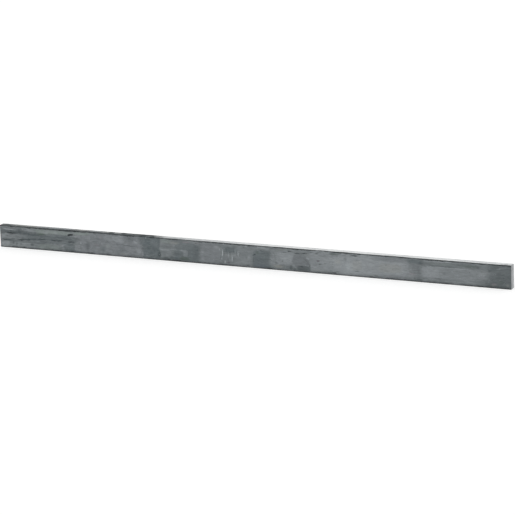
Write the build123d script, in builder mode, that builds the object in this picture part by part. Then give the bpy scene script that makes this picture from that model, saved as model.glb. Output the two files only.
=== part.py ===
from build123d import *

import os

# Steel flat bar: one cut length of hot-rolled mild steel, rectangular in section.
#
# Millimetres. The bar stands on one of its narrow sides. +X runs along its length,
# +Y through its thickness, from the front wide side to the back one, and +Z up its
# width. The origin is the centre of the narrow side that it stands on.

# --- Driving sizes -----------------------------------------------------------------
bar_length = 914.4  # 3 ft, the length that the bar is sawn to
bar_width = 38.1  # 1-1/2 in, the height of the wide sides
bar_thickness = 12.7  # 1/2 in, the distance between the wide sides
corner_radius = 1.0  # what the rolls leave on the four long corners
sawn_edge_break = 0.4  # sharp edge filed off all round each sawn end

# --- The bar -----------------------------------------------------------------------
left_end = Plane.YZ.offset(-bar_length / 2)

with BuildPart() as flat_bar:
    # The rolled section stands on the ground line, half its thickness to each side.
    with BuildSketch(left_end) as rolled_section:
        RectangleRounded(
            bar_thickness,
            bar_width,
            corner_radius,
            align=(Align.CENTER, Align.MIN),
        )
    extrude(amount=bar_length)

    # Both ends are sawn square, and the saw's burr is filed off all round.
    sawn_ends = faces().filter_by(Axis.X)
    chamfer(sawn_ends.edges(), sawn_edge_break)

flat_bar.part.label = "flat_bar"

# --- Files -------------------------------------------------------------------------
os.makedirs("parts", exist_ok=True)
export_step(flat_bar.part, "parts/flat_bar.step")
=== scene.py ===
"""Looks of a hot-rolled steel flat bar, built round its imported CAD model.

Everything is in metres, in the bar's own frame: +X along its length, +Y through its
thickness from the front wide side to the back one, +Z up across its width. Marks on the
surface are placed in millimetres, counted from the left end and from the lower side.
"""

import logging
import math
from dataclasses import dataclass
from enum import Enum
from typing import Any, Sequence

import bmesh
import bpy
from mathutils import Matrix, Vector, noise


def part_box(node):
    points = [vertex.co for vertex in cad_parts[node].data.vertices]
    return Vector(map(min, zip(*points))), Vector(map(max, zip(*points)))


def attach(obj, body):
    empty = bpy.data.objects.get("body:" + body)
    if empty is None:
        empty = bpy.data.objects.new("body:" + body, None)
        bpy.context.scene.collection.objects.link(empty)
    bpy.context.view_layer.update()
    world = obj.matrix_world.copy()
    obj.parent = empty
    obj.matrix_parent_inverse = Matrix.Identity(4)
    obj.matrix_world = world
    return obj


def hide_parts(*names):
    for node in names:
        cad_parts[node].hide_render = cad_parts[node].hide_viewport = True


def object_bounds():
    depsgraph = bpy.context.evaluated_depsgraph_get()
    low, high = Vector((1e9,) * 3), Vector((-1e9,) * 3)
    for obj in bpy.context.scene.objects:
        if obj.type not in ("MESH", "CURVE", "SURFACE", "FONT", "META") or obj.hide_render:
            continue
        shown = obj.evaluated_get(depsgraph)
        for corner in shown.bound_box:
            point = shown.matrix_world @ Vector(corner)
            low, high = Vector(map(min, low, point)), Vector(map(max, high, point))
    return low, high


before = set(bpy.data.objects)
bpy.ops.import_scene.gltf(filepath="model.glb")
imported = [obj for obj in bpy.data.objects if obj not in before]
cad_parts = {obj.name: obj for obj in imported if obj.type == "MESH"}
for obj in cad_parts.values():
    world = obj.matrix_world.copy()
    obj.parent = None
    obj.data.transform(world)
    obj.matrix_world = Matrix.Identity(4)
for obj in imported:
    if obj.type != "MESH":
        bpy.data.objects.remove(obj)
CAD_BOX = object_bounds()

MM = 0.001
BAR_NODE = "flat_bar"
BAR_BODY = "root"
CRUST_LENGTH = 300.0  # How far the crust reaches from the left end, in millimetres.
FACING = 0.9  # How much of a normal lies along an axis, at least, where a face looks that way.

log = logging.getLogger("flat_bar")

Colour = tuple[float, float, float]
Place = tuple[float, float, float]


def held(value: float) -> float:
    """Hold a number between 0 and 1."""
    return min(1.0, max(0.0, value))


def grey_to_linear(level: float) -> float:
    """Turn one 0 to 255 display level into linear light."""
    share = level / 255
    return share / 12.92 if share <= 0.04045 else ((share + 0.055) / 1.055) ** 2.4


def shade(red: float, green: float, blue: float) -> Colour:
    """Turn a colour as a screen shows it, 0 to 255, into linear light."""
    return grey_to_linear(red), grey_to_linear(green), grey_to_linear(blue)


def skinned(name: str, shape: bmesh.types.BMesh) -> bpy.types.Mesh:
    """Turn a finished shape into a mesh, and let go of the shape.

    Args:
        name: The mesh's name.
        shape: The finished shape.

    Returns:
        The mesh.
    """
    mesh = bpy.data.meshes.new(name)
    shape.to_mesh(mesh)
    shape.free()
    return mesh


def placed(name: str, data: bpy.types.ID) -> bpy.types.Object:
    """Put a new object into the scene.

    Args:
        name: The object's name.
        data: Its mesh, light or camera.

    Returns:
        The object, at the origin.
    """
    made = bpy.data.objects.new(name, data)
    bpy.context.scene.collection.objects.link(made)
    return made


# --- Shader sockets in plain arithmetic -------------------


class Value:
    """A shader socket that takes part in Python arithmetic."""

    def __init__(self, graph: "Graph", socket: bpy.types.NodeSocket) -> None:
        """Wrap one output socket of the graph."""
        self.graph = graph
        self.socket = socket

    def _maths(self, operation: str, *values: Any) -> "Value":
        """Add a Math node that works on these values."""
        return self.graph.node("ShaderNodeMath", {"operation": operation}, dict(enumerate(values)))

    def __add__(self, other: Any) -> "Value":
        """Sum with another value."""
        return self._maths("ADD", self, other)

    __radd__ = __add__

    def __sub__(self, other: Any) -> "Value":
        """Difference from another value."""
        return self._maths("SUBTRACT", self, other)

    def __rsub__(self, other: Any) -> "Value":
        """Difference with a number on the left."""
        return self._maths("SUBTRACT", other, self)

    def __mul__(self, other: Any) -> "Value":
        """Product with another value."""
        return self._maths("MULTIPLY", self, other)

    __rmul__ = __mul__

    def __truediv__(self, other: Any) -> "Value":
        """Quotient by another value."""
        return self._maths("DIVIDE", self, other)

    def __rtruediv__(self, other: Any) -> "Value":
        """Quotient with a number on the left."""
        return self._maths("DIVIDE", other, self)

    def largest(self, other: Any) -> "Value":
        """The larger of two values."""
        return self._maths("MAXIMUM", self, other)

    def size(self) -> "Value":
        """The value without its sign."""
        return self._maths("ABSOLUTE", self)

    def rise(self, low: float, high: float, top: float = 1.0) -> "Value":
        """Go smoothly from 0 at low to top at high, or the other way where low is the larger.

        Args:
            low: The value at which the result is 0.
            high: The value at which the result is top.
            top: The result's largest value.

        Returns:
            The smoothed value, held between 0 and top.
        """
        ends = {"From Min": low, "From Max": high, "To Min": 0.0, "To Max": top}
        if low > high:
            ends = {"From Min": high, "From Max": low, "To Min": top, "To Max": 0.0}
        settings = {"interpolation_type": "SMOOTHSTEP", "clamp": False}
        return self.graph.node("ShaderNodeMapRange", settings, {"Value": self, **ends})


class Graph:
    """The node tree of a material or of the world, to which nodes are added one by one."""

    def __init__(self, owner: bpy.types.Material | bpy.types.World) -> None:
        """Start with an empty tree.

        Args:
            owner: The material or world that the nodes belong to.
        """
        owner.use_nodes = True
        self.tree = owner.node_tree
        self.tree.nodes.clear()

    def add(
        self,
        kind: str,
        settings: dict[str, Any] | None = None,
        sockets: dict[str | int, Any] | None = None,
    ) -> bpy.types.Node:
        """Add a node of any type.

        Args:
            kind: The node's type.
            settings: The node's own properties, which are set before its sockets.
            sockets: Values or links for its input sockets, by name or number.

        Returns:
            The node in its place.
        """
        made = self.tree.nodes.new(kind)
        for name, setting in (settings or {}).items():
            setattr(made, name, setting)
        for key, value in (sockets or {}).items():
            if isinstance(value, Value):
                self.tree.links.new(value.socket, made.inputs[key])
            else:
                made.inputs[key].default_value = value
        return made

    def node(
        self,
        kind: str,
        settings: dict[str, Any] | None = None,
        sockets: dict[str | int, Any] | None = None,
        output: str | int = 0,
    ) -> Value:
        """Add a node and pick one of its outputs.

        Args:
            kind: The node's type.
            settings: The node's own properties.
            sockets: Values or links for its input sockets, by name or number.
            output: The output socket to return, by name or number.

        Returns:
            The chosen output.
        """
        return Value(self, self.add(kind, settings, sockets).outputs[output])

    def point(self) -> Value:
        """Find the place on the surface.

        Returns:
            Millimetres from the left end, the middle of the thickness and the lower side.
        """
        place = self.node("ShaderNodeTexCoord", output="Object")
        half = CAD_BOX[1].x / MM
        spread = {"Vector": place, "Scale": (1 / MM,) * 3, "Location": (half, 0, 0)}
        return self.node("ShaderNodeMapping", None, spread)

    def parts(self, vector: Value) -> tuple[Value, Value, Value]:
        """Split a vector.

        Args:
            vector: The vector.

        Returns:
            Its X, Y and Z.
        """
        split = self.node("ShaderNodeSeparateXYZ", sockets={"Vector": vector})
        outputs = split.socket.node.outputs
        return tuple(Value(self, outputs[axis]) for axis in "XYZ")

    def noise(
        self,
        point: Value,
        grain: tuple[float, float, float],
        detail: float = 3.0,
        rough: float = 0.55,
        output: str = "Fac",
    ) -> Value:
        """Cloudy noise, about 0.5 on average.

        Args:
            point: The place on the surface, in mm.
            grain: The size of a cloud along X, Y and Z, in millimetres.
            detail: How many finer layers are added.
            rough: How strong the finer layers are.
            output: Fac for a number, or Color for three.

        Returns:
            The noise.
        """
        scale = tuple(1 / size for size in grain)
        spread = self.node("ShaderNodeMapping", None, {"Vector": point, "Scale": scale})
        layers = {"Vector": spread, "Scale": 1.0, "Detail": detail, "Roughness": rough}
        return self.node("ShaderNodeTexNoise", None, layers, output)

    def warped(self, point: Value, grain: float, reach: float) -> Value:
        """The place on the surface, pushed about so that straight outlines turn ragged.

        Args:
            point: The place on the surface, in mm.
            grain: The size of one swirl, in millimetres.
            reach: How far a place moves, in millimetres.

        Returns:
            The moved place.
        """
        swirl = self.noise(point, (grain * 1.6, grain, grain), 2.0, output="Color")
        centred = self.vectors("SUBTRACT", swirl, (0.5, 0.5, 0.5))
        return self.vectors("MULTIPLY_ADD", centred, (reach * 3,) * 3, point)

    def vectors(self, operation: str, *values: Any, output: int = 0) -> Value:
        """Add a Vector Math node that works on these values; output 1 gives a number."""
        settings = {"operation": operation}
        return self.node("ShaderNodeVectorMath", settings, dict(enumerate(values)), output)

    def mix(self, share: Any, first: Any, second: Any) -> Value:
        """Blend two colours.

        Args:
            share: How much of the second colour shows, from 0 to 1.
            first: The colour at 0.
            second: The colour at 1.

        Returns:
            The blended colour.
        """
        under, over = (c if isinstance(c, Value) else (*c, 1.0) for c in (first, second))
        sockets = {0: share, 6: under, 7: over}
        return self.node("ShaderNodeMix", {"data_type": "RGBA"}, sockets, 2)

    def specks(
        self, point: Value, spacing: tuple[float, float, float], share: float, turn: float = 0.0
    ) -> Value:
        """Scattered spots or, where the spacing is long one way, hairlines.

        Args:
            point: The place on the surface, in mm.
            spacing: How far apart spots could lie along X, Y and Z, in millimetres.
            share: Which part of the possible spots there is, from 0 to 1.
            turn: How far the spots lean on the wide sides, in degrees.

        Returns:
            1 in the middle of a spot, and 0 outside.
        """
        settings = {"vector_type": "TEXTURE"}
        sockets = {"Vector": point, "Rotation": (0, math.radians(-turn), 0), "Scale": spacing}
        spread = self.node("ShaderNodeMapping", settings, sockets)
        cells = self.add("ShaderNodeTexVoronoi", None, {"Vector": spread, "Scale": 1.0})
        chance, breadth, _ = self.parts(Value(self, cells.outputs["Color"]))
        reach = breadth * 0.3 + 0.15
        inside = (1 - Value(self, cells.outputs["Distance"]) / reach).rise(0.0, 0.5)
        return inside * chance.rise(1 - share, 1.01 - share)

    def bumps(self, height: Value, reach: float) -> Value:
        """Bend the light as on a surface whose height changes by reach, in millimetres."""
        return self.node("ShaderNodeBump", None, {"Height": height, "Distance": reach * MM})

    def surface(self, **sockets: Any) -> None:
        """Finish a material with one Principled shader, whose inputs are named with underscores."""
        named = {name.replace("_", " "): value for name, value in sockets.items()}
        self.finish("ShaderNodeOutputMaterial", self.node("ShaderNodeBsdfPrincipled", None, named))

    def finish(self, kind: str, shader: Value) -> None:
        """Send a shader to the tree's output node."""
        self.add(kind, None, {"Surface": shader})


# --- Marks on the scale -----------------------------------


class Tint(Enum):
    """What a mark on the mill scale looks like, as a screen colour."""

    BLACK = shade(38, 45, 47)
    DARK = shade(72, 80, 82)
    MOSS = shade(84, 95, 90)
    TEAL = shade(87, 97, 100)
    SLATE = shade(92, 100, 107)
    PLUM = shade(88, 82, 90)
    GREY = shade(113, 118, 121)
    LILAC = shade(128, 132, 136)
    ROSE = shade(134, 128, 133)
    SAGE = shade(130, 139, 136)
    WARM = shade(139, 141, 137)
    PALE = shade(145, 150, 153)
    BRIGHT = shade(190, 197, 200)
    WHITE = shade(247, 249, 249)


BLACK, DARK, MOSS, TEAL, SLATE, PLUM, GREY, LILAC, ROSE, SAGE, WARM, PALE, BRIGHT, WHITE = Tint


@dataclass(frozen=True)
class Mark:
    """One stain, streak or scratch, in millimetres from the left end and the lower edge.

    An edge of 1 fades from the mark's middle outwards, and a small one ends sharply. A mark
    with a depth is also sunk into the steel.
    """

    tint: Tint
    along: float
    up: float
    length: float
    height: float
    strength: float = 0.6
    edge: float = 0.9
    tilt: float = 0.0
    depth: float = 0.0

    def sunk(self, along: float, up: float) -> float:
        """How far the steel is sunk at a place, in millimetres.

        Args:
            along: The place's distance from the left end, in millimetres.
            up: Its height, in millimetres.

        Returns:
            The mark's depth in its middle, and 0 outside it.
        """
        turn = math.radians(self.tilt)
        right, above = along - self.along, up - self.up
        u = (right * math.cos(turn) + above * math.sin(turn)) * 2 / self.length
        v = (above * math.cos(turn) - right * math.sin(turn)) * 2 / self.height
        return self.depth * max(0.0, 1 - u * u - v * v)

    def from_middle(self, inside: Value) -> Value:
        """How far out a place lies: 0 in the middle and 1 on a round outline."""
        return inside.graph.vectors("LENGTH", inside, output=1)

    def mask(self, graph: Graph, point: Value, fray: Value) -> Value:
        """How strongly the mark shows at a place.

        Args:
            graph: The material's nodes.
            point: The place on the surface, in mm.
            fray: How far the outline is pushed in or out there, as a share of its reach.

        Returns:
            The mark's strength in its middle, and 0 outside it.
        """
        cosine, sine = math.cos(math.radians(self.tilt)), math.sin(math.radians(self.tilt))
        if self.tilt:
            across = graph.vectors("CROSS_PRODUCT", point, (0, -sine, 0))
            point = graph.vectors("MULTIPLY_ADD", point, (cosine, 0, cosine), across)
        per_length, per_height = 2 / self.length, 2 / self.height
        middle_along = (self.along * cosine + self.up * sine) * per_length
        middle_up = (self.up * cosine - self.along * sine) * per_height
        spread = (per_length, 0, per_height)
        inside = graph.vectors("MULTIPLY_ADD", point, spread, (-middle_along, 0, -middle_up))
        return (self.from_middle(inside) + fray).rise(1.0, 1 - self.edge, self.strength)


@dataclass(frozen=True)
class Patch(Mark):
    """A mark with an outline between a rectangle and an oval."""

    def from_middle(self, inside: Value) -> Value:
        """How far out a place lies: 0 in the middle and 1 on the outline."""
        squared = inside.graph.vectors("MULTIPLY", inside, inside)
        return super().from_middle(squared)


# Broad zones of tone come first, then what lies on them, from the left end to the right.
FRONT_MARKS = (
    # Zones.
    Patch(TEAL, 96, 21, 120, 20, 0.45, 0.6),
    Patch(LILAC, 216, 17, 132, 60, 0.55, 0.35),
    Patch(TEAL, 293, 14, 32, 90, 0.6, 0.22, -7),
    Patch(TEAL, 281, 31, 26, 20, 0.4, 0.7),
    Patch(TEAL, 359, 14, 50, 40, 0.46, 0.3),
    Patch(LILAC, 402, 17, 40, 44, 0.45, 0.4),
    Mark(GREY, 405, 19, 30, 30, 0.3, 1.0),
    Patch(TEAL, 494, 12, 35, 39, 0.54, 0.34),
    Patch(TEAL, 509, 28, 12, 5, 0.15, 0.7),
    Mark(PALE, 510, 15, 10, 22, 0.4, 1.0),
    Mark(SLATE, 486, 12, 18, 26, 0.3, 1.0),
    Patch(PALE, 535, 20, 42, 26, 0.7, 0.7),
    Patch(PALE, 598, 20, 46, 44, 0.55, 0.6),
    Patch(PALE, 460, 17, 34, 44, 0.26, 0.5),
    Patch(PALE, 682, 18, 150, 40, 0.8, 0.45),
    Patch(GREY, 716, 33, 70, 12, 0.6, 0.6),
    Patch(GREY, 720, 4, 66, 8, 0.55, 0.6),
    Patch(PALE, 783, 17, 34, 20, 0.5, 0.5),
    Patch(PALE, 822, 17, 108, 19, 0.38, 0.25),
    Patch(TEAL, 825, 30.5, 120, 7.5, 0.1, 0.5),
    Patch(DARK, 904, 18, 62, 90, 0.48, 0.6),
    # By the left end: two dark streaks along the bar, with pale scale between them.
    Patch(DARK, 28, 28, 70, 7.5, 0.6, 0.6),
    Mark(DARK, 25, 27.6, 44, 5, 0.5, 0.7),
    Mark(BLACK, 21, 25.5, 25, 5.4, 1.0, 0.9, depth=0.06),
    Mark(DARK, 23, 30.2, 14, 4.4, 0.8),
    Mark(DARK, 20, 22.6, 12, 3),
    Mark(DARK, 6, 24.6, 18, 1.8, 0.7, 0.8),
    Mark(DARK, 66, 26.5, 56, 6, 0.5, 0.8),
    Mark(BLACK, 70, 25.6, 14, 2, 0.4),
    Mark(BLACK, 40, 28.6, 10, 3, 0.35),
    Mark(DARK, 42, 33.6, 6, 5, 0.5),
    Mark(PALE, 17, 32.2, 34, 3, 1.0, 0.7),
    Mark(ROSE, 24, 35, 34, 2.4, 0.3, 0.8),
    Mark(DARK, 38, 32, 8, 9, 0.5),
    Mark(PALE, 45, 33.2, 3.2, 5, 0.6, 0.8),
    Mark(PALE, 60, 32.6, 26, 5, 0.55, 0.8),
    Patch(SAGE, 105, 32, 78, 7.6, 0.75, 0.5),
    Mark(PALE, 91, 32, 20, 6, 0.55),
    Mark(PALE, 112, 31, 12, 8, 0.45),
    Patch(SAGE, 161, 33.6, 36, 5.4, 0.8, 0.6),
    Mark(MOSS, 83, 27.6, 28, 5, 1.0, 0.8),
    Mark(DARK, 90, 26.6, 10, 2.6),
    Mark(DARK, 83, 23, 12, 3.4, 0.5),
    Mark(PALE, 7, 20.5, 12, 7, 0.6, 0.8),
    Patch(PALE, 31, 20, 54, 6, 0.1, 0.7),
    Mark(DARK, 33, 21, 9, 4, 0.3),
    Mark(DARK, 45, 19, 7, 4, 0.3),
    Mark(DARK, 14, 20, 8, 3, 0.3),
    Mark(DARK, 16, 13.8, 34, 3.4, 1.0, 0.8),
    Mark(BLACK, 9, 13.2, 12, 1.8, 0.6, 0.8),
    Mark(DARK, 25, 15.6, 12, 3, 0.5),
    Mark(PALE, 4.5, 17, 7, 4),
    Mark(BLACK, 42, 15.2, 20, 4.6, 1.0, 0.8, 4),
    Mark(BLACK, 56, 16.2, 16, 4.4, 1.0, 0.8, 3),
    Mark(DARK, 48, 15.6, 36, 5, 0.95, 0.8, 4),
    Mark(DARK, 66, 18, 18, 4.4, 0.8, 0.8, 8),
    Mark(BLACK, 84, 18.6, 26, 3.4, 0.75, 0.8),
    Mark(DARK, 89, 20.2, 12, 3),
    Mark(DARK, 82, 15.6, 14, 2, 0.4),
    Mark(BLACK, 106, 18.7, 14, 3.8, 1.0, 0.8, -3),
    Mark(BLACK, 118, 18.3, 14, 3.6, 1.0, 0.8),
    Mark(DARK, 108, 18.5, 40, 4, 0.7, 0.8),
    Mark(DARK, 121, 18.8, 22, 3.4, 0.9, 0.8),
    Mark(BLACK, 139, 18.6, 20, 6, 0.75),
    Mark(DARK, 139, 22.6, 12, 3, 0.5),
    Mark(DARK, 120, 23.6, 44, 3.6, 0.35),
    Patch(PALE, 10.5, 7, 19, 9.4, 0.75, 0.6),
    Patch(PALE, 47, 7, 50, 9, 0.3, 0.6),
    Mark(DARK, 26, 10, 6, 9),
    Mark(DARK, 33, 8, 5, 9, 0.5),
    Mark(DARK, 41, 8.4, 5, 7, 0.5),
    Mark(DARK, 63.5, 8, 11, 7.4, 0.75, 0.8, depth=0.05),
    Mark(PALE, 74, 14, 13, 1.5, 0.8),
    Patch(SAGE, 96, 6.4, 52, 10, 0.5, 0.6),
    Mark(DARK, 89, 14.4, 14, 5, 0.45),
    Mark(PALE, 125, 11.4, 17, 3.4, 0.9, 0.8, 20),
    Patch(TEAL, 135.5, 8.4, 23, 14, 0.4, 0.3),
    Mark(DARK, 140, 3.4, 16, 4, 0.4),
    Patch(PALE, 152, 8, 12, 13, 0.5, 0.5),
    Patch(LILAC, 163, 29, 34, 6, 0.4, 0.6),
    Mark(PALE, 147, 27.6, 12, 5),
    Patch(BLACK, 139, 30.5, 12, 3.8, 1.0, 0.5, 12, depth=0.25),
    # The lilac stretch.
    Mark(BRIGHT, 159.5, 17.6, 2.2, 3, 0.7, depth=0.05),
    Mark(PALE, 164.5, 17.6, 2, 2.2, 0.5),
    Mark(DARK, 172, 15, 12, 24, 0.5, 1.0),
    Mark(PALE, 177, 29, 4, 8, 0.4),
    Mark(DARK, 187, 21.8, 18, 2.2, 0.8),
    Mark(DARK, 192, 26.6, 9, 1.6, 0.35),
    Mark(ROSE, 190, 16.6, 14, 3, 0.5),
    Mark(ROSE, 197, 31, 6, 9, 0.4),
    Mark(TEAL, 202, 10.5, 13, 19, 0.6, 1.0),
    Mark(SAGE, 210, 16, 9, 12, 0.4, 0.7),
    Mark(DARK, 209, 24.6, 12, 2, 0.35, 0.9, -30),
    Mark(DARK, 245, 20.2, 68, 1.8, 0.6, 0.7),
    Patch(TEAL, 240, 11, 18, 9, 0.2, 0.6),
    Patch(PALE, 232, 29, 26, 13, 0.45, 0.7),
    Patch(PALE, 215, 29, 24, 11, 0.25, 0.8),
    Mark(WARM, 241, 5.6, 16, 4, 0.3),
    Patch(DARK, 253, 31, 30, 11, 0.28),
    Mark(DARK, 253, 32, 6, 6, 0.3),
    Mark(PALE, 263, 27, 11, 6, 0.7, 0.8, -35),
    Mark(PALE, 269, 13, 14, 13, 0.6, 0.7),
    Mark(DARK, 262, 8, 14, 3, 0.3),
    # The first dark patch and the ribbon right of it.
    Mark(BRIGHT, 283, 35, 2.6, 4),
    Mark(PALE, 284, 6, 6, 2.4, 0.4),
    Mark(PALE, 298, 4.6, 9, 2, 0.35),
    Mark(DARK, 292, 22, 24, 12, 0.25),
    Mark(DARK, 308, 8.8, 9, 17, 0.95, 0.8),
    Mark(DARK, 319, 5, 16, 6.4, 0.8, 0.8),
    Mark(PALE, 325, 26.8, 14, 4, 0.5),
    Mark(PALE, 276, 9, 6, 9),
    Mark(DARK, 308, 31, 9, 12, 0.4),
    Mark(BLACK, 306, 16, 8, 1.6, 0.5),
    Patch(SAGE, 321, 32.6, 20, 7, 0.5, 0.6),
    Mark(WARM, 336, 31.5, 26, 6, 0.45, 0.8),
    Patch(PALE, 318, 18.4, 19, 4.4, 0.55, 0.7),
    Mark(PALE, 336, 19.4, 26, 3.2, 0.5, 0.8, -4),
    Mark(PALE, 353, 18.6, 21, 4.6, 0.65, 0.8),
    Patch(PALE, 325, 12.6, 13, 8, 0.18, 0.8),
    Patch(PALE, 356.5, 14, 10, 12, 0.45, 0.8),
    Mark(DARK, 339, 11.5, 18, 9, 0.22, 0.7),
    Mark(ROSE, 358, 33.2, 18, 2.2, 0.6, 0.6),
    Mark(ROSE, 380, 33.6, 18, 2, 0.4, 0.6),
    Mark(BLACK, 375, 33.2, 8, 1.4),
    Mark(BLACK, 388, 34.6, 9, 1.4, 0.5),
    Mark(TEAL, 334, 5, 34, 6, 0.6, 0.7),
    Mark(MOSS, 355, 5.6, 26, 8, 0.75, 0.6),
    Mark(DARK, 374, 18, 17, 30, 0.22, 0.5),
    Mark(DARK, 378, 22, 4, 5, 0.5),
    Mark(PALE, 387, 20, 8, 5, 0.5),
    Mark(PALE, 388, 10, 9, 9, 0.35),
    Mark(DARK, 402, 16.4, 9, 1.6, 0.55, 0.9, 10),
    Mark(PALE, 414, 30.4, 13, 3.6, 0.6, 0.6),
    # Scratches across the bar.
    Patch(TEAL, 440, 26.5, 32, 13, 0.5, 0.8),
    Mark(DARK, 420.5, 14, 2.4, 12, 0.5),
    Mark(BRIGHT, 424.2, 21, 2.2, 15, 0.95, 0.9, -5, depth=0.08),
    Mark(BRIGHT, 422.6, 12.6, 1.8, 8, 0.5, depth=0.05),
    Mark(BRIGHT, 428.6, 6.4, 2.6, 9, 0.55, depth=0.06),
    Mark(DARK, 431, 26, 2.4, 12, 0.4),
    Mark(DARK, 437.5, 21, 3, 13, 0.5),
    Mark(DARK, 442, 24.4, 22, 1.6, 0.45),
    Mark(BRIGHT, 441.4, 13, 2.6, 14, 0.55, 0.9, depth=0.06),
    Mark(DARK, 445, 26, 3, 12, 0.5),
    Mark(DARK, 450, 21, 2.6, 9, 0.35),
    Mark(BRIGHT, 453, 21.6, 2.2, 14, 0.5, depth=0.05),
    Mark(BRIGHT, 447.5, 25, 1.8, 10, 0.35),
    Mark(BRIGHT, 434.5, 19, 1.8, 13, 0.3),
    Mark(BRIGHT, 418.5, 27, 1.8, 9, 0.3),
    Mark(DARK, 427.6, 20, 2, 15, 0.4),
    Mark(DARK, 434, 11, 2.4, 9, 0.35),
    Mark(DARK, 456.5, 24, 2, 10, 0.35),
    Mark(DARK, 440, 30.6, 24, 1.8, 0.45),
    Mark(PALE, 447, 17.6, 12, 1.8, 0.4),
    Mark(PLUM, 435, 6, 8, 8, 0.55),
    # The second dark patch and the dark lens.
    Mark(DARK, 467, 17, 5, 9, 0.35),
    Mark(DARK, 470, 3.6, 11, 4, 0.8),
    Mark(PALE, 471, 17, 3, 9, 0.35),
    Mark(BLACK, 463, 33, 5, 1.8, 0.4, depth=0.06),
    Mark(BLACK, 481.5, 22.4, 9, 2.4, 0.85, 0.8, 24, depth=0.12),
    Mark(MOSS, 487, 25.4, 9, 8, 0.6, 0.7),
    Mark(DARK, 479.5, 14, 3.4, 15, 0.4),
    Mark(DARK, 499, 29.4, 27, 2.0, 0.7, 0.8),
    Mark(DARK, 497, 24.6, 12, 4, 0.25),
    Mark(PALE, 498, 33.8, 30, 3.4, 0.7, 0.6),
    Mark(SLATE, 492, 5, 38, 6, 0.65, 0.7),
    Mark(PALE, 514, 16, 12, 26, 0.45, 0.8),
    Mark(PALE, 514, 26.4, 15, 3.4, 0.4, 0.8, -48),
    Mark(DARK, 510, 16.4, 9, 2, 0.5, 0.9, -20),
    Mark(WARM, 524, 6.6, 24, 5.6, 0.7, 0.6),
    Mark(BLACK, 520.5, 12.2, 8, 2, 0.85, depth=0.1),
    Mark(DARK, 531, 15.4, 4.4, 2, 0.8, 0.8, 40),
    Mark(DARK, 534, 29.8, 22, 1.9, 0.7),
    Mark(SAGE, 521, 32.4, 20, 2),
    Mark(DARK, 514, 34.4, 16, 1.4, 0.5),
    Mark(WARM, 530, 34, 22, 3, 0.5),
    Mark(BLACK, 543.5, 32, 9, 2.4, 0.95, 0.8, depth=0.1),
    Mark(DARK, 546, 6, 9, 9, 0.7, 0.8),
    Patch(GREY, 563, 16.4, 31, 20, 0.85, 0.25, -22),
    Mark(PALE, 551, 9.6, 7, 6, 0.4, 0.8),
    Mark(DARK, 552, 4.2, 10, 4.4, 0.7, 0.8),
    Mark(PALE, 576, 22.6, 9, 7, 0.7, 0.8, -40),
    Mark(DARK, 573, 18, 20, 2.6, 0.4, 0.8, -42),
    Mark(PALE, 562, 10.4, 16, 1.6, 0.5, 0.8, -18),
    Patch(DARK, 568, 6, 27, 9, 0.62, 0.5),
    Mark(BLACK, 565, 8.4, 9, 3, 0.6, 0.8, depth=0.1),
    Mark(DARK, 578.5, 11, 5, 8),
    Mark(BLACK, 557, 30.6, 14, 2.0, 0.8, 0.8, 2, depth=0.08),
    Mark(BLACK, 569, 31.2, 14, 2.2, 0.95, 0.7, 3, depth=0.08),
    Mark(PLUM, 593.5, 20.2, 7, 2.6, 1.0, 0.6, depth=0.08),
    Mark(DARK, 596.5, 15.4, 9, 2.2, 0.9, 0.8, depth=0.06),
    Mark(DARK, 606, 16.6, 9, 1.8, 0.5),
    Mark(PALE, 590, 11, 15, 4, 0.5, 0.8, 12),
    Mark(DARK, 591, 31.8, 10, 3, 0.75),
    Mark(DARK, 580, 33.4, 16, 1.8, 0.7),
    Mark(PALE, 582, 30.6, 10, 2),
    Mark(DARK, 594, 34.2, 14, 1.8, 0.7),
    Mark(DARK, 601, 29, 22, 2, 0.7, 0.9, 2),
    Mark(WARM, 592, 5.6, 20, 4.6, 0.35),
    # The bright stretch.
    Mark(BRIGHT, 645, 15.6, 12, 14, 0.15, 1.0),
    Mark(BRIGHT, 536, 20.5, 22, 8, 0.12),
    Mark(BRIGHT, 626, 19, 28, 26, 0.14, 1.0),
    Mark(WARM, 627, 21.6, 15, 12, 0.4, 0.7),
    Patch(BRIGHT, 655, 16, 44, 26, 0.14, 0.8),
    Patch(WARM, 660, 18, 20, 20, 0.3, 0.6),
    Patch(WARM, 716, 17.6, 44, 16, 0.4, 0.5),
    Mark(MOSS, 623, 33.4, 24, 2.8, 0.7, 0.8),
    Mark(DARK, 618, 34.6, 12, 1.8),
    Mark(DARK, 656, 33.8, 18, 3.2, 0.9, 0.8),
    Mark(DARK, 661, 26.2, 13, 1.8, 0.55),
    Mark(GREY, 641, 26.6, 8, 10),
    Mark(GREY, 612, 10, 7, 12, 0.35),
    Mark(BLACK, 621, 3.6, 13, 4, 0.7, depth=0.12),
    Mark(DARK, 627, 5.6, 11, 2.6, 0.5),
    Mark(DARK, 660, 8, 13, 3, 0.6, 0.7),
    Mark(DARK, 693, 4, 14, 4, 0.4),
    Mark(ROSE, 714, 4.6, 22, 2.2, 0.5),
    Mark(DARK, 709, 22.4, 8, 1.8, 0.5),
    Mark(PALE, 737, 20, 8, 7, 0.4),
    Patch(TEAL, 758, 32, 30, 8, 0.6, 0.8),
    Mark(GREY, 759, 20, 20, 28, 0.6, 0.8),
    Mark(ROSE, 753, 12, 16, 6, 0.4),
    Mark(DARK, 757, 5.6, 6, 6, 0.5),
    # The light panel and the dark right end.
    Mark(DARK, 768, 29.6, 12, 11, 0.6),
    Mark(DARK, 763.5, 18, 8, 26, 0.26, 1.0),
    Mark(DARK, 765, 4, 20, 4, 0.5),
    Mark(PALE, 820, 25.9, 104, 2.2, 0.8, 0.7),
    Mark(DARK, 788, 27.8, 40, 1.8, 0.4),
    Mark(DARK, 806.5, 16.6, 9, 7, 0.2, 0.7),
    Mark(GREY, 806.5, 16.4, 5, 4),
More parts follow.
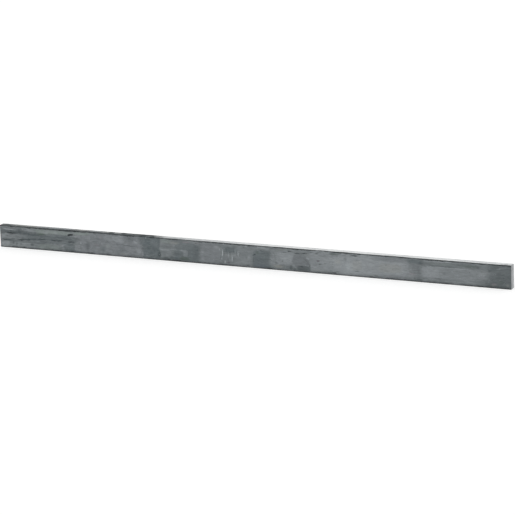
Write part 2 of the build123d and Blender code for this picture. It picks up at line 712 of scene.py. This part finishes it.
    Mark(PALE, 800.5, 17, 2.6, 6, 0.5),
    Mark(PALE, 803, 11, 7, 2.2, 0.5),
    Mark(DARK, 848, 21.6, 4.4, 3, 0.45),
    Mark(MOSS, 846, 31, 46, 7, 0.6, 0.8),
    Patch(PALE, 822, 5.4, 100, 5, 0.3, 0.6),
    Mark(PALE, 806, 34.6, 72, 3, 0.8),
    Patch(SAGE, 800, 31, 50, 4, 0.3, 0.8),
    Mark(PALE, 871, 19, 4, 14, 0.3),
    Mark(DARK, 861, 29.6, 6, 4.4, 0.5),
    Mark(DARK, 875, 8, 9, 10, 0.4),
    Mark(BLACK, 880, 26.4, 9, 6, 0.3),
    Mark(GREY, 888, 21.4, 6, 6, 0.7, 0.6),
    Mark(DARK, 888, 21, 2.8, 2.8, 0.7),
    Mark(BLACK, 901, 21.8, 8, 1.8, 0.5),
    Mark(BLACK, 901, 17.2, 8, 1.8, 0.5),
    Mark(BLACK, 884, 13.4, 7, 2.4, 0.4),
    Mark(ROSE, 886, 6.4, 12, 3.4, 0.55),
    Mark(MOSS, 898, 10, 16, 9, 0.4),
    Mark(WARM, 886, 4.6, 16, 4, 0.3),
    Mark(WARM, 909, 6, 8, 6, 0.4),
    Mark(PALE, 899, 31.8, 26, 2.2, 0.5, 0.8, 6),
)

# Lighter and darker marks along the front long corners, over their dark line.
EDGE_MARKS = (
    Mark(PALE, 9, 2.4, 26, 2.8, 0.8, 0.8),
    Mark(PALE, 22, 2.4, 12, 2.8, 0.6, 0.8),
    Mark(PALE, 55, 2.4, 16, 2.8, 0.7),
    Mark(DARK, 153, 2.8, 18, 3.4, 0.9),
    Mark(BLACK, 174, 2.6, 30, 3.2, 0.9),
    Mark(BLACK, 324, 2.8, 14, 3, 0.8),
    Mark(DARK, 408, 2.6, 12, 2.8),
    Mark(GREY, 721, 2.6, 14, 2.6, 0.5),
    Mark(BLACK, 41, 36.2, 14, 2.6, 0.5),
    Mark(PALE, 57, 35, 12, 3, 1.0),
    Mark(BLACK, 72, 36.1, 16, 3.2, 0.9),
    Mark(GREY, 102, 36, 13, 2.8, 0.9),
    Mark(SAGE, 131, 35.6, 12, 2.6, 0.5),
    Mark(PALE, 235, 35.2, 13, 3, 1.0),
    Mark(GREY, 288, 36, 8, 2.6),
    Mark(DARK, 384, 35.2, 14, 2.8, 0.8),
    Mark(PALE, 467, 35.6, 10, 3, 0.9),
    Mark(GREY, 475, 36, 12, 2.6, 0.9),
    Mark(BLACK, 493, 36.2, 12, 2.6),
    Mark(GREY, 514, 36, 13, 2.8, 1.0),
    Mark(PALE, 548, 34.8, 13, 3, 1.0),
    Mark(BLACK, 597, 36.2, 12, 2.6, 0.5),
    Mark(BLACK, 610, 36.2, 12, 2.6, 0.5),
    Mark(PALE, 637, 36, 15, 3, 0.9),
    Mark(BLACK, 684, 36.1, 18, 3.2, 0.9),
    Mark(BLACK, 768, 36.1, 16, 3.2, 0.9),
    Mark(BLACK, 867, 35.8, 18, 3.2, 0.9),
)

# On the upper narrow side, where the height is counted from the front edge backwards.
UPPER_MARKS = (
    Patch(BLACK, 150, 0, 310, 9, 0.95, 0.7),
    Patch(DARK, 266, 7, 72, 28, 0.8, 0.4),
    Patch(GREY, 224, 4, 30, 10, 0.5, 0.6),
    Mark(DARK, 12, 6, 50, 24, 0.9),
    Patch(PALE, 108, 8, 92, 14, 0.9, 0.8),
    Patch(PALE, 186, 8, 36, 11, 0.8, 0.8),
    Mark(DARK, 146, 8, 12, 8, 0.4),
    Mark(BLACK, 216, 7, 15, 22, 1.0, 0.6),
    Mark(DARK, 219, 3, 24, 9, 0.7, 0.8),
    Mark(BLACK, 239, 9, 12, 9, 1.0, 0.4),
    Mark(BLACK, 256, 9.5, 15, 8, 1.0, 0.4),
    Patch(BLACK, 281, 8.6, 34, 10, 1.0, 0.4),
    Mark(PALE, 285, 3.6, 18, 4.4, 0.9, 0.8),
    Mark(GREY, 262, 3.8, 20, 4.4, 0.8, 0.8),
    Mark(DARK, 305, 4, 40, 14, 0.5),
    Mark(DARK, 345, 3, 60, 7, 0.4),
    Patch(GREY, 375, 5, 160, 12, 0.2, 0.6),
    # Painted highlight: a long near-white streak stands in for grazing light on the rubbed steel.
    Patch(WHITE, 680, 4, 420, 9, 0.6, 0.4),
    Mark(PALE, 430, 5, 30, 6, 0.35),
    Mark(PALE, 405, 9, 46, 6, 0.3),
    Mark(DARK, 530, 0.6, 22, 4),
    Mark(DARK, 597, 0.8, 40, 4, 0.5),
    Mark(DARK, 640, 0.6, 34, 4),
    Mark(PALE, 590, 7, 60, 7, 0.3),
    Mark(DARK, 724, 0.8, 70, 4),
    Mark(PALE, 740, 8, 60, 6, 0.25),
    Mark(PALE, 850, 7, 90, 9, 0.4),
    Mark(DARK, 905, 1.5, 24, 7, 0.7),
)


# --- Finishes ---------------------------------------------


@dataclass(frozen=True)
class MillScale:
    """Blue-grey oxide that hot rolling leaves on the long sides."""

    length: float
    thickness: float
    width: float
    dark: Colour = shade(100, 106, 108)
    middle: Colour = shade(114, 120, 122)
    light: Colour = shade(128, 133, 135)
    # The long corners' dark line: part dark scale, part painted shade.
    dark_arris_and_shade: Colour = shade(28, 34, 35)
    crust: Colour = shade(148, 150, 149)
    # Rubbed bare steel on the upper side, painted near white as the sheen that grazing light gives
    # it.
    rubbed_and_sheen: Colour = shade(238, 241, 242)
    crust_length: float = CRUST_LENGTH
    corner: float = 1.4
    corner_end: float = 0.9
    bump: float = 0.06

    def marked(
        self, graph: Graph, point: Value, fray: Value, colour: Value, marks: Sequence[Mark]
    ) -> Value:
        """Lay marks over a colour.

        Args:
            graph: The material's nodes.
            point: The place on the surface, in mm.
            fray: How far outlines are pushed in or out there.
            colour: What lies under the marks.
            marks: The marks, with the undermost first.

        Returns:
            The marked colour.
        """
        for mark in marks:
            colour = graph.mix(mark.mask(graph, point, fray), colour, mark.tint.value)
        return colour

    def hidden(self, graph: Graph, point: Value, plain: Value) -> Value:
        """Lay broad zones, stains and rolled-in streaks over the sides that face away.

        Args:
            graph: The material's nodes.
            point: The place on the surface, in mm.
            plain: The plain oxide's colour.

        Returns:
            The colour of the back and of the lower narrow side.
        """
        zones = graph.noise(point, (42.0, 60.0, 70.0), 2.0, 0.45)
        colour = graph.mix(zones.rise(0.5, 0.56, 0.5), plain, Tint.TEAL.value)
        colour = graph.mix(zones.rise(0.42, 0.36, 0.5), colour, Tint.PALE.value)
        stains = graph.specks(point, (34.0, 14.0, 14.0), 0.45)
        colour = graph.mix(stains * 0.4, colour, Tint.DARK.value)
        rolled = graph.specks(point, (30.0, 3.0, 3.0), 0.14)
        colour = graph.mix(rolled * 0.7, colour, Tint.DARK.value)
        flaked = graph.specks(point, (11.0, 3.4, 3.4), 0.07, 12.0)
        return graph.mix(flaked * 0.5, colour, Tint.PALE.value)

    def grained(self, graph: Graph, point: Value, colour: Value) -> Value:
        """Add what is seen from close by: mottling, pits, flecks and hairline scratches.

        Args:
            graph: The material's nodes.
            point: The place on the surface, in mm.
            colour: The oxide's colour.

        Returns:
            The colour with its grain.
        """
        mottle = graph.noise(point, (9.0, 2.6, 2.0), 6.0, 0.65) - 0.5
        rolled = graph.noise(point, (34.0, 0.9, 0.9), 3.0, 0.6) - 0.5
        colour = graph.vectors("MULTIPLY", colour, mottle * 0.8 + rolled * 0.3 + 1)
        pits = graph.specks(point, (1.9, 0.9, 0.9), 0.16)
        colour = graph.mix(pits * 0.35, colour, Tint.BLACK.value)
        flecks = graph.specks(point, (4.0, 0.8, 0.8), 0.07)
        colour = graph.mix(flecks * 0.3, colour, Tint.BRIGHT.value)
        drawn = graph.specks(point, (26.0, 0.5, 0.5), 0.05)
        colour = graph.mix(drawn * 0.3, colour, Tint.BRIGHT.value)
        crossing = graph.specks(point, (14.0, 0.5, 0.5), 0.02, 62.0)
        return graph.mix(crossing * 0.35, colour, Tint.BRIGHT.value)

    def tone(self, graph: Graph, point: Value, along: Value) -> Value:
        """How pale the bare oxide is: clouds, long streaks and, in one stretch, mottling.

        Args:
            graph: The material's nodes.
            point: The place on the surface, in mm.
            along: Its distance from the left end.

        Returns:
            About 0.5 on average, and more where the oxide is paler.
        """
        clouds = graph.noise(point, (26.0, 9.0, 9.0), 5.0, 0.62)
        streaks = graph.noise(point, (60.0, 2.4, 2.4), 3.0, 0.6)
        streaky = along.rise(230.0, 60.0, 0.9) + 0.25
        mottle = graph.noise(point, (6.0, 2.5, 3.2), 2.0, 0.6)
        mottled = along.rise(60.0, 150.0) * along.rise(330.0, 290.0, 1.3)
        return clouds + (streaks - 0.5) * streaky + (mottle - 0.5) * mottled

    def top_side(
        self, graph: Graph, point: Value, along: Value, through: Value, fray: Value
    ) -> tuple[Value, Value]:
        """Crust the upper narrow side by the left end, and from there on rub it to bare steel with
        a painted sheen.

        Args:
            graph: The material's nodes.
            point: The place on the surface, in mm.
            along: Its distance from the left end, made ragged.
            through: Its distance from the middle of the thickness, made ragged.
            fray: How far outlines are pushed in or out there.

        Returns:
            The colour, and how crusted the place is, from 0 to 1.
        """
        wear = graph.noise(point, (7.0, 4.0, 4.0), 5.0, 0.65)
        crusted = along.rise(self.crust_length + 30, self.crust_length - 12)
        worn_and_sheen = graph.mix(wear.rise(0.35, 0.6, 0.3), self.rubbed_and_sheen, self.crust)
        worn_and_sheen = graph.mix(crusted, worn_and_sheen, self.crust)
        place = {0: along, 2: through + self.thickness / 2}
        lying = graph.node("ShaderNodeCombineXYZ", sockets=place)
        return self.marked(graph, lying, fray * 1.6, worn_and_sheen, UPPER_MARKS), crusted

    def corner_line_and_shade(
        self, graph: Graph, ragged: Value, through: Value, up: Value, upper: Value
    ) -> Value:
        """Darken the long corners: part dark scale, part painted shade, with painted shade above
        the low ones.

        Args:
            graph: The material's nodes.
            ragged: The place on the surface, made ragged.
            through: Its distance from the middle of the thickness.
            up: Its height, made ragged.
            upper: 1 on the upper narrow side, and 0 below it.

        Returns:
            How strongly the line shows, from 0 to 1.
        """
        half = self.thickness / 2
        # Painted shade: the lower corner darkens, with a fainter band reaching 6 mm up; the upper
        # corner's line is part painted shade too.
        low_edge_and_shade = up.rise(2.8, 1.4).largest(up.rise(6.0, 0.8, 0.5))
        high_edge_and_shade = up.rise(self.width - 2.3, self.width - 1.5) * (1 - upper)
        on_wide = through.size().rise(half - self.corner, half - self.corner_end)
        edge = low_edge_and_shade.largest(high_edge_and_shade) * on_wide
        strength = graph.noise(ragged, (16.0, 30.0, 12.0), 3.0, 0.6).rise(0.25, 0.6, 0.35) + 0.55
        return edge * strength

    def material(self) -> bpy.types.Material:
        """Build the oxide's nodes.

        Returns:
            The finished material.
        """
        made = bpy.data.materials.new("mill_scale")
        graph = Graph(made)
        point = graph.point()
        ragged = graph.warped(graph.warped(point, 12.0, 1.4), 2.6, 0.7)
        along, through, up = graph.parts(ragged)
        flat_along, flat_through, flat_up = graph.parts(point)
        half = self.thickness / 2

        # The tone and the fray read the plain point. Cycles can hold only so many values at
        # once, and with this many marks the long sides turn black if they read the ragged one.
        tone = self.tone(graph, point, flat_along)
        plain = graph.mix(tone.rise(0.2, 0.55), self.dark, self.middle)
        plain = graph.mix(tone.rise(0.45, 0.8), plain, self.light)

        fray = (graph.noise(point, (6.0, 3.0, 2.4), 3.0, 0.6) - 0.5) * 0.8
        away = self.hidden(graph, ragged, plain)
        facing = self.marked(graph, ragged, fray, plain, FRONT_MARKS)
        front = flat_through.rise(self.corner - half, self.corner_end - half)
        colour = graph.mix(front, away, facing)

        # The upper narrow side: crust by the left end, then rubbed steel painted near white as a
        # sheen.
        worn_and_sheen, crusted = self.top_side(graph, point, along, through, fray)
        upper = flat_up.rise(self.width - 0.4, self.width - 0.15)
        colour = graph.mix(upper, colour, worn_and_sheen)
        bright = upper * (1 - crusted)

        # Along the long corners a dark line, part dark scale and part painted shade.
        corner_dark_and_shade = self.corner_line_and_shade(graph, ragged, flat_through, up, upper)
        colour = graph.mix(corner_dark_and_shade, colour, self.dark_arris_and_shade)
        edge_marked = self.marked(graph, ragged, fray, colour, EDGE_MARKS)
        colour = graph.mix(front * (1 - upper), colour, edge_marked)
        colour = self.grained(graph, ragged, colour)

        rough = 0.6 - tone.rise(0.3, 0.9, 0.14) - bright * 0.15 + upper * crusted * 0.25
        metal = 0.3 + bright * 0.6
        bumps = graph.bumps(graph.noise(point, (1.6, 0.7, 0.7), 4.0, 0.6), self.bump)
        graph.surface(Base_Color=colour, Roughness=rough, Metallic=metal, Normal=bumps)
        return made


@dataclass(frozen=True)
class SawnSteel:
    """Bare steel where the bar was cut."""

    thickness: float
    bare: Colour = shade(172, 175, 177)
    dull: Colour = shade(140, 143, 145)
    stain: Colour = shade(112, 110, 106)
    # Painted shade along the sawn end's front edge.
    dark_arris_and_shade: Colour = shade(60, 65, 66)
    bump: float = 0.05

    def material(self) -> bpy.types.Material:
        """Build the cut steel's nodes.

        Returns:
            The finished material.
        """
        made = bpy.data.materials.new("sawn_steel")
        graph = Graph(made)
        point = graph.point()
        strokes = graph.noise(point, (4.0, 0.35, 30.0), 3.0, 0.6)
        colour = graph.mix(strokes.rise(0.35, 0.65), self.dull, self.bare)
        stains = graph.noise(point, (9.0, 5.0, 9.0), 4.0, 0.65)
        colour = graph.mix(stains.rise(0.52, 0.7, 0.35), colour, self.stain)
        half = self.thickness / 2
        # Painted shade: the end darkens towards its front edge.
        from_front = graph.parts(graph.warped(point, 2.5, 0.7))[1] + half
        colour = graph.mix(from_front.rise(2.2, 0.7, 0.85), colour, self.dark_arris_and_shade)
        teeth = graph.bumps(strokes, self.bump)
        rough = 0.38 + stains.rise(0.4, 0.7, 0.12)
        graph.surface(Base_Color=colour, Roughness=rough, Metallic=0.6, Normal=teeth)
        return made


# --- The bar ----------------------------------------------


@dataclass(frozen=True)
class Relief:
    """How far the skin is sunk below the bar's full size, in millimetres.

    A place is given from the left end, the middle of the thickness and the lower side.
    Nothing is raised, so the carved bar stays within the size of the CAD model.
    """

    length: float
    thickness: float
    width: float
    wave: float = 0.05
    flake: float = 0.04
    pit: float = 0.1
    nick: float = 0.3
    nick_reach: float = 1.6
    crust: float = 0.16
    crust_length: float = CRUST_LENGTH
    crust_fade: float = 12.0
    saw_line: float = 0.06
    saw_step: float = 1.25

    def cloud(self, place: Place, grain: float, layer: float) -> float:
        """Smooth noise from -1 to 1, drawn out along the bar; each layer has its own."""
        along, through, up = place
        return noise.noise(Vector((along / grain / 2.2 + layer, through / grain, up / grain)))

    def scale(self, place: Place) -> float:
        """How far the oxide on the long sides is sunk.

        Args:
            place: Where on the skin, in millimetres.

        Returns:
            Long waves, the steps where flakes came off, and a few round pits.
        """
        along, through, up = place
        waves = self.wave * (0.5 + 0.5 * self.cloud(place, 26.0, 0.0))
        flaked = self.cloud(place, 9.0, 40.0) + 0.45 * self.cloud(place, 3.0, 80.0)
        flakes = self.flake * held((flaked - 0.18) * 9)
        pitted = self.cloud((along / 2, through, up), 2.3, 120.0)
        pits = self.pit * held((pitted - 0.52) * 6)
        return waves + flakes + pits

    def crusted(self, place: Place) -> float:
        """How far the skin is sunk between the lumps of crust on the upper narrow side.

        Args:
            place: Where on the skin, in millimetres.

        Returns:
            The depth, which fades out where the crust ends.
        """
        along, _, up = place
        if up < self.width - 0.3 or along > self.crust_length:
            return 0.0
        lumps = self.cloud(place, 4.5, 160.0) + 0.5 * self.cloud(place, 1.9, 7.0)
        fade = min(1.0, (self.crust_length - along) / self.crust_fade)
        return self.crust * fade * held(0.55 - 1.6 * lumps)

    def nicked(self, place: Place) -> float:
        """How far a long corner is knocked in.

        Args:
            place: Where on the skin, in millimetres.

        Returns:
            The depth of the knock, and 0 away from the corners.
        """
        along, through, up = place
        from_wide = self.thickness / 2 - abs(through)
        from_narrow = self.width / 2 - abs(up - self.width / 2)
        near = max(0.0, 1 - max(from_wide, from_narrow) / self.nick_reach)
        knock = self.cloud((along / 1.6, through * 3, up * 3), 5.0, 200.0)
        return self.nick * near * held((knock - 0.3) * 2.6)

    def sawn(self, through: float, up: float, layer: float) -> float:
        """How far the teeth of the saw cut into an end.

        Args:
            through: The place's distance from the middle of the thickness, in millimetres.
            up: Its height, in millimetres.
            layer: Which noise to draw on, so that the two ends differ.

        Returns:
            Lines up the end, one beside the other, that waver and vary in depth.
        """
        waver = 0.35 * self.cloud((0.0, through, up), 11.0, layer)
        step = (through + waver) / self.saw_step
        depth = 0.6 + 0.4 * self.cloud((0.0, through * 4, up), 14.0, layer + 9)
        return self.saw_line * depth * (0.5 + 0.5 * math.sin(2 * math.pi * step))


@dataclass
class FlatBar:
    """One cut length of rolled bar, with rolled corners, filed ends and shallow relief."""

    low: Vector
    high: Vector
    corner_radius: float = 1.0 * MM
    corner_steps: int = 4
    sawn_edge_break: float = 0.4 * MM
    cell: float = 1.25 * MM
    end_splits: int = 4
    end_shift: float = 0.02
    sliver: float = 0.03 * MM
    crease: float = 30.0
    slack: float = 0.001 * MM

    @property
    def size(self) -> Vector:
        """Length, thickness and width."""
        return self.high - self.low

    def long_edges(self, shape: bmesh.types.BMesh) -> list[bmesh.types.BMEdge]:
        """The edges that run from end to end."""
        return [e for e in shape.edges if abs((e.verts[0].co - e.verts[1].co).x) > self.size.x / 2]

    def on_end(self, place: Vector) -> bool:
        """Whether a place lies on one of the two sawn faces."""
        return abs(place.x) > self.size.x / 2 - self.slack

    def bevel(
        self, shape: bmesh.types.BMesh, edges: list[bmesh.types.BMEdge], offset: float, steps: int
    ) -> None:
        """Ease edges.

        Args:
            shape: The bar so far.
            edges: The edges to ease.
            offset: How far the easing reaches on each side.
            steps: How many faces it has across.
        """
        bmesh.ops.bevel(
            shape, geom=edges, offset=offset, offset_type="OFFSET", affect="EDGES",
            segments=steps, profile=0.5, material=-1,
        )

    def blank(self) -> bmesh.types.BMesh:
        """Make the bar's closed shape, with its corners rolled and its ends filed.

        Returns:
            The plain bar, without relief.
        """
        shape = bmesh.new()
        spread = Matrix.Diagonal((*self.size, 1.0))
        place = Matrix.Translation((self.low + self.high) / 2)
        bmesh.ops.create_cube(shape, size=1.0, matrix=place @ spread)
        self.bevel(shape, self.long_edges(shape), self.corner_radius, self.corner_steps)
        ends = [f for f in shape.faces if abs(f.normal.x) > FACING]
        rim = list({e for f in ends for e in f.edges})
        self.bevel(shape, rim, self.sawn_edge_break, 1)
        return shape

    def cut(self, shape: bmesh.types.BMesh, axis: int, at: float, ends_only: bool) -> None:
        """Rule one line round the bar, or across its ends only.

        Args:
            shape: The bar so far.
            axis: The axis that the cutting plane stands across.
            at: Where the plane crosses that axis.
            ends_only: Whether only the sawn faces are cut.
        """
        normal, place = Vector((0, 0, 0)), Vector((0, 0, 0))
        normal[axis], place[axis] = 1.0, at
        faces = list(shape.faces)
        if ends_only:
            faces = [f for f in faces if self.on_end(f.calc_center_median())]
        edges = list({e for f in faces for e in f.edges})
        verts = list({v for f in faces for v in f.verts})
        bmesh.ops.bisect_plane(shape, geom=verts + edges + faces, plane_co=place, plane_no=normal)

    def ruled(self, shape: bmesh.types.BMesh) -> None:
        """Rule the skin into cells that are small enough to carry the relief.

        Args:
            shape: The bar so far.
        """
        for axis in (1, 2):
            start = self.low[axis] + self.corner_radius
            span = self.size[axis] - 2 * self.corner_radius
            count = round(span / self.cell)
            for step in range(1, count):
                self.cut(shape, axis, start + span * step / count, ends_only=False)
        start = self.low.y + self.sawn_edge_break
        span = self.size.y - 2 * self.sawn_edge_break
        count = round(span / self.cell) * self.end_splits
        for step in range(1, count):
            self.cut(shape, 1, start + span * (step + self.end_shift) / count, ends_only=True)
        bmesh.ops.dissolve_degenerate(shape, edges=shape.edges, dist=self.sliver)
        cuts = round(self.size.x / self.cell) - 1
        edges = self.long_edges(shape)
        bmesh.ops.subdivide_edges(shape, edges=edges, cuts=cuts, use_grid_fill=True)

    def carve(self, shape: bmesh.types.BMesh) -> None:
        """Sink the skin by the relief, straight inwards from each place.

        Args:
            shape: The bar so far, with outward normals.
        """
        length, thickness, width = (side / MM for side in self.size)
        relief = Relief(length, thickness, width)
        sunk_marks = [mark for mark in FRONT_MARKS if mark.depth]
        shape.normal_update()
        moves = []
        for vertex in shape.verts:
            along, through, up = (vertex.co - self.low) / MM
            through -= thickness / 2
            if self.on_end(vertex.co):
                depth = relief.sawn(through, up, 1.0 if vertex.co.x > 0 else 50.0)
                moves.append(Vector((math.copysign(depth, -vertex.co.x), 0, 0)))
                continue
            place = along, through, up
            depth = relief.scale(place) + relief.crusted(place) + relief.nicked(place)
            if vertex.normal.y < -FACING:
                depth += sum(mark.sunk(along, up) for mark in sunk_marks)
            moves.append(vertex.normal * -depth)
        for vertex, move in zip(shape.verts, moves):
            vertex.co += move * MM

    def build(self) -> bpy.types.Object:
        """Make the finished object and dress it.

        Returns:
            The bar's object, at the origin.
        """
        shape = self.blank()
        self.ruled(shape)
        bmesh.ops.recalc_face_normals(shape, faces=shape.faces)
        for face in shape.faces:
            at_end = abs(face.calc_center_median().x) > self.size.x / 2 - self.sawn_edge_break
            face.material_index = int(at_end)
            face.smooth = True
        self.carve(shape)
        mesh = skinned("bar_skin", shape)
        length, thickness, width = (side / MM for side in self.size)
        mesh.materials.append(MillScale(length, thickness, width).material())
        mesh.materials.append(SawnSteel(thickness).material())
        mesh.set_sharp_from_angle(angle=math.radians(self.crease))
        return placed("rolled_bar", mesh)


# --- The studio -------------------------------------------


@dataclass(frozen=True)
class Studio:
    """A plain pale floor under soft white light."""

    floor_half: float = 15.0
    floor_white: float = 0.8
    lift: float = 0.36
    sky_light: float = 0.64
    sky_mirrored: float = 0.8
    lamp_strength: float = 0.9
    lamp_width: float = 50.0
    lamp_from: tuple[float, float, float] = (0.7, -1.1, 1.5)

    def seen(self, graph: Graph) -> Value:
        """Tell which rays see the studio directly, in gloss or through glass.

        Args:
            graph: The nodes of the floor or of the sky.

        Returns:
            1 for those rays, and 0 for the ones that only light the bar.
        """
        rays = graph.add("ShaderNodeLightPath")
        names = "Is Camera Ray", "Is Glossy Ray", "Is Transmission Ray"
        camera, glossy, through = (Value(graph, rays.outputs[name]) for name in names)
        return camera.largest(glossy).largest(through)

    def floor(self) -> bpy.types.Object:
        """Lay the floor that the bar stands on.

        Returns:
            The floor.
        """
        shape = bmesh.new()
        bmesh.ops.create_grid(shape, x_segments=1, y_segments=1, size=self.floor_half)
        mesh = skinned("floor", shape)
        paint = bpy.data.materials.new("pale_floor")
        graph = Graph(paint)
        white = (self.floor_white,) * 3 + (1.0,)
        matt = graph.node("ShaderNodeBsdfDiffuse", None, {"Color": white})
        glow = graph.node("ShaderNodeEmission", None, {"Strength": self.seen(graph) * self.lift})
        both = graph.node("ShaderNodeAddShader", None, {0: matt, 1: glow})
        graph.finish("ShaderNodeOutputMaterial", both)
        mesh.materials.append(paint)
        return placed("floor", mesh)

    def sky(self) -> None:
        """Surround the bar with even light, which is seen as white."""
        world = bpy.data.worlds.new("studio")
        bpy.context.scene.world = world
        graph = Graph(world)
        rays = graph.add("ShaderNodeLightPath")
        direct = Value(graph, rays.outputs["Is Camera Ray"])
        mirrored = self.seen(graph) * (self.sky_mirrored - self.sky_light) + self.sky_light
        sockets = {"Color": (1.0, 1.0, 1.0, 1.0), "Strength": mirrored.largest(direct)}
        light = graph.node("ShaderNodeBackground", None, sockets)
        graph.finish("ShaderNodeOutputWorld", light)

    def lamp(self) -> None:
        """Light the bar from high in front on the right, with a wide soft source."""
        data = bpy.data.lights.new("softbox", "SUN")
        data.energy = self.lamp_strength
        data.angle = math.radians(self.lamp_width)
        lamp = placed("softbox", data)
        lamp.location = self.lamp_from
        lamp.rotation_euler = (-Vector(self.lamp_from)).to_track_quat("-Z", "Y").to_euler()

    def build(self) -> bpy.types.Object:
        """Set up floor, sky and lamp.

        Returns:
            The floor.
        """
        self.sky()
        self.lamp()
        return self.floor()


@dataclass(frozen=True)
class Viewpoint:
    """Where the camera stands, as a compass turn, a height above the horizon and a distance."""

    turn: float = 26.7811
    climb: float = 13.7654
    roll: float = -2.14
    distance: float = 3.4407586
    lens: float = 150.26998
    sensor: float = 36.0
    aim: tuple[float, float, float] = (0.0266062, 0.0, 0.0163205)

    def build(self) -> bpy.types.Object:
        """Set up the camera.

        Returns:
            The camera.
        """
        turn, climb, roll = (math.radians(angle) for angle in (self.turn, self.climb, self.roll))
        back = Vector(
            (math.sin(turn) * math.cos(climb), -math.cos(turn) * math.cos(climb), math.sin(climb))
        )
        level = Vector((math.cos(turn), math.sin(turn), 0.0))
        upright = back.cross(level)
        right = level * math.cos(roll) + upright * math.sin(roll)
        above = upright * math.cos(roll) - level * math.sin(roll)
        data = bpy.data.cameras.new("camera")
        data.sensor_width = self.sensor
        data.lens = self.lens
        data.clip_start, data.clip_end = 0.1, 100.0
        camera = placed("camera", data)
        turned = Matrix((right, above, back)).transposed().to_4x4()
        camera.matrix_world = Matrix.Translation(Vector(self.aim) + back * self.distance) @ turned
        bpy.context.scene.camera = camera
        return camera


def main() -> None:
    """Build the bar, the studio and the camera in order, and log the bar's face count."""
    logging.basicConfig(level=logging.INFO, format="%(name)s: %(message)s")
    bpy.context.scene.view_settings.view_transform = "Standard"

    bar = FlatBar(*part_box(BAR_NODE)).build()
    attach(bar, BAR_BODY)
    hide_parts(BAR_NODE)
    log.info("%s: %d faces", bar.name, len(bar.data.polygons))

    Studio().build()
    Viewpoint().build()


if __name__ == "__main__":
    main()
